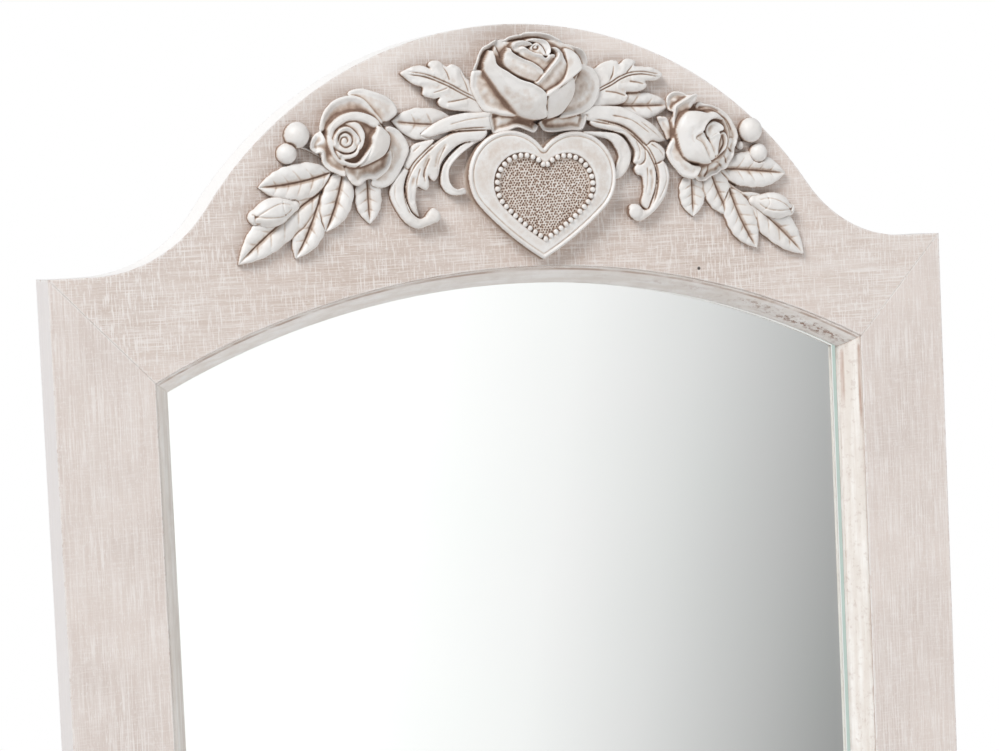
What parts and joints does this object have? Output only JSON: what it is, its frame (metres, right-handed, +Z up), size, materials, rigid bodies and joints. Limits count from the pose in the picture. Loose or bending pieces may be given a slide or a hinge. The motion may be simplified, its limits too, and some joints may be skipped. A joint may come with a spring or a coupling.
{
  "type": "cheval floor mirror",
  "caption": "Free-standing full-length mirror in an arched frame with a heart and rose crest, tilting between two turned posts on trestle feet.",
  "frame": {"origin": "on the floor, midway between the posts and straight under the tilt axis", "axes": "+X to the viewer's right, +Y away from the viewer (the glass faces -Y), +Z up"},
  "size_m": [0.671, 0.44, 1.5249],
  "materials": {
    "painted_wood": "whitewashed pine with a pinkish beige ground",
    "moulding_paint": "worn off-white paint",
    "ornament": "cast composition ornament, off-white with brown patina",
    "mirror": "silvered float glass",
    "backing": "hardboard",
    "steel": "zinc-plated",
    "brass": "aged brass",
    "felt": "felt"
  },
  "bodies": {
    "stand": {"left_post": "painted_wood", "right_post": "painted_wood", "left_finial": "painted_wood", "right_finial": "painted_wood", "left_foot": "painted_wood", "right_foot": "painted_wood", "stretcher": "painted_wood", "glides": "felt", "foot_bolts": "steel", "stretcher_bolts": "steel", "barrel_nuts": "steel", "left_bush": "brass", "right_bush": "brass", "left_spacer": "painted_wood", "right_spacer": "painted_wood"},
    "mirror": {"left_stile": "painted_wood", "right_stile": "painted_wood", "top_rail": "painted_wood", "bottom_rail": "painted_wood", "left_moulding": "moulding_paint", "right_moulding": "moulding_paint", "top_moulding": "moulding_paint", "bottom_moulding": "moulding_paint", "mirror_glass": "mirror", "backing_board": "backing", "backing_clips": "steel", "clip_screws": "steel", "corner_braces": "steel", "brace_screws": "steel", "left_pivot_plate": "steel", "right_pivot_plate": "steel", "pivot_screws": "steel", "heart_plaque": "ornament", "heart_beads": "ornament", "centre_rose": "ornament", "left_rose": "ornament", "right_rose": "ornament", "left_scroll": "ornament", "right_scroll": "ornament", "left_leaves": "ornament", "right_leaves": "ornament", "crest_leaves": "ornament", "rose_buds": "ornament", "left_berries": "ornament", "right_berries": "ornament"},
    "left_washer": {"left_washer": "brass"},
    "right_washer": {"right_washer": "brass"},
    "left_knob": {"left_stud": "steel", "left_knob": "brass"},
    "right_knob": {"right_stud": "steel", "right_knob": "brass"}
  },
  "joints": [
    {"name": "mirror_tilt", "type": "hinge", "parent": "stand", "child": "mirror", "pos_m": [0, 0, 0.87], "axis": [1, 0, 0], "range_deg": [-40, 40]},
    {"name": "left_washer_slide", "type": "slide", "parent": "mirror", "child": "left_washer", "axis": [-1, 0, 0], "range_m": [0, 0.0025]},
    {"name": "left_knob_turn", "type": "hinge", "parent": "left_washer", "child": "left_knob", "pos_m": [-0.2975, 0, 0.87], "axis": [-1, 0, 0], "range_deg": [0, 720]},
    {"name": "right_washer_slide", "type": "slide", "parent": "mirror", "child": "right_washer", "axis": [1, 0, 0], "range_m": [0, 0.0025]},
    {"name": "right_knob_turn", "type": "hinge", "parent": "right_washer", "child": "right_knob", "pos_m": [0.2975, 0, 0.87], "axis": [1, 0, 0], "range_deg": [0, 720]}
  ],
  "couplings": [
    {"joint": "left_knob_turn", "follows": "left_washer_slide", "rad_per_m": 5026.5},
    {"joint": "right_knob_turn", "follows": "right_washer_slide", "rad_per_m": 5026.5}
  ]
}
